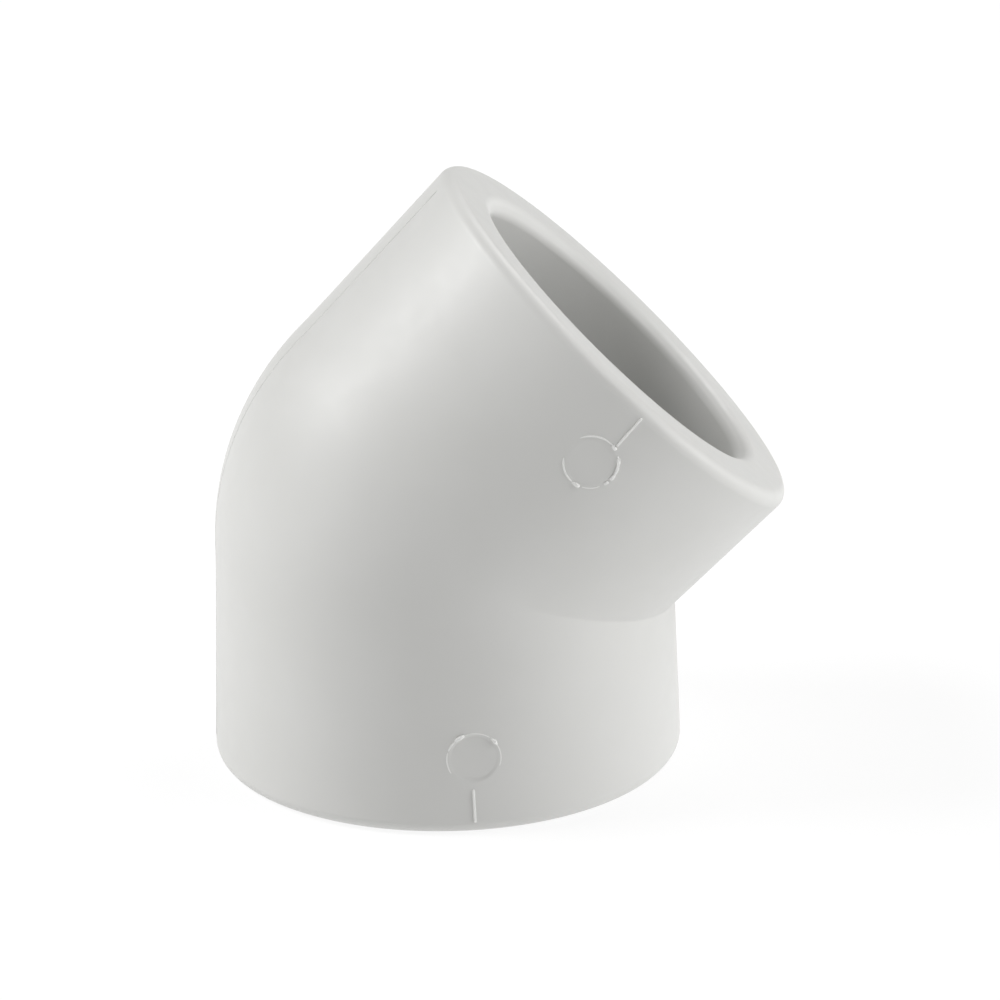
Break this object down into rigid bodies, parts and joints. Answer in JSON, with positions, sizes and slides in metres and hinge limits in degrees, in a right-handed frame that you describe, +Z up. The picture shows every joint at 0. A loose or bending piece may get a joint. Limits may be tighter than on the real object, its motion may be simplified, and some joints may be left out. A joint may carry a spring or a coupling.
{
  "type": "conduit elbow",
  "caption": "Heavy-walled plastic elbow with two plain sockets, turning a conduit run through 45 degrees.",
  "frame": {"origin": "centre of the lower mouth face", "axes": "+Z up the lower socket's axis; the upper socket leans 45 degrees toward +X; both axes lie in the XZ plane"},
  "size_m": [0.0681, 0.0559, 0.0704],
  "materials": {
    "moulded_wall": "light grey-white moulded plastic, satin, very fine grain",
    "moulded_bore": "the same plastic inside the bore, smoother from the core pins",
    "witness_marks": "the same plastic as thin raised flash, slightly brighter on its edges"
  },
  "bodies": {
    "root": {"lower_socket": "moulded_wall", "lower_stop": "moulded_bore", "lower_neck": "moulded_wall", "elbow_heel": "moulded_wall", "upper_neck": "moulded_wall", "upper_stop": "moulded_bore", "upper_socket": "moulded_wall", "lower_ring_mark": "witness_marks", "lower_index_rib": "witness_marks", "upper_ring_mark": "witness_marks", "upper_index_rib": "witness_marks", "parting_line": "witness_marks"}
  },
  "joints": []
}
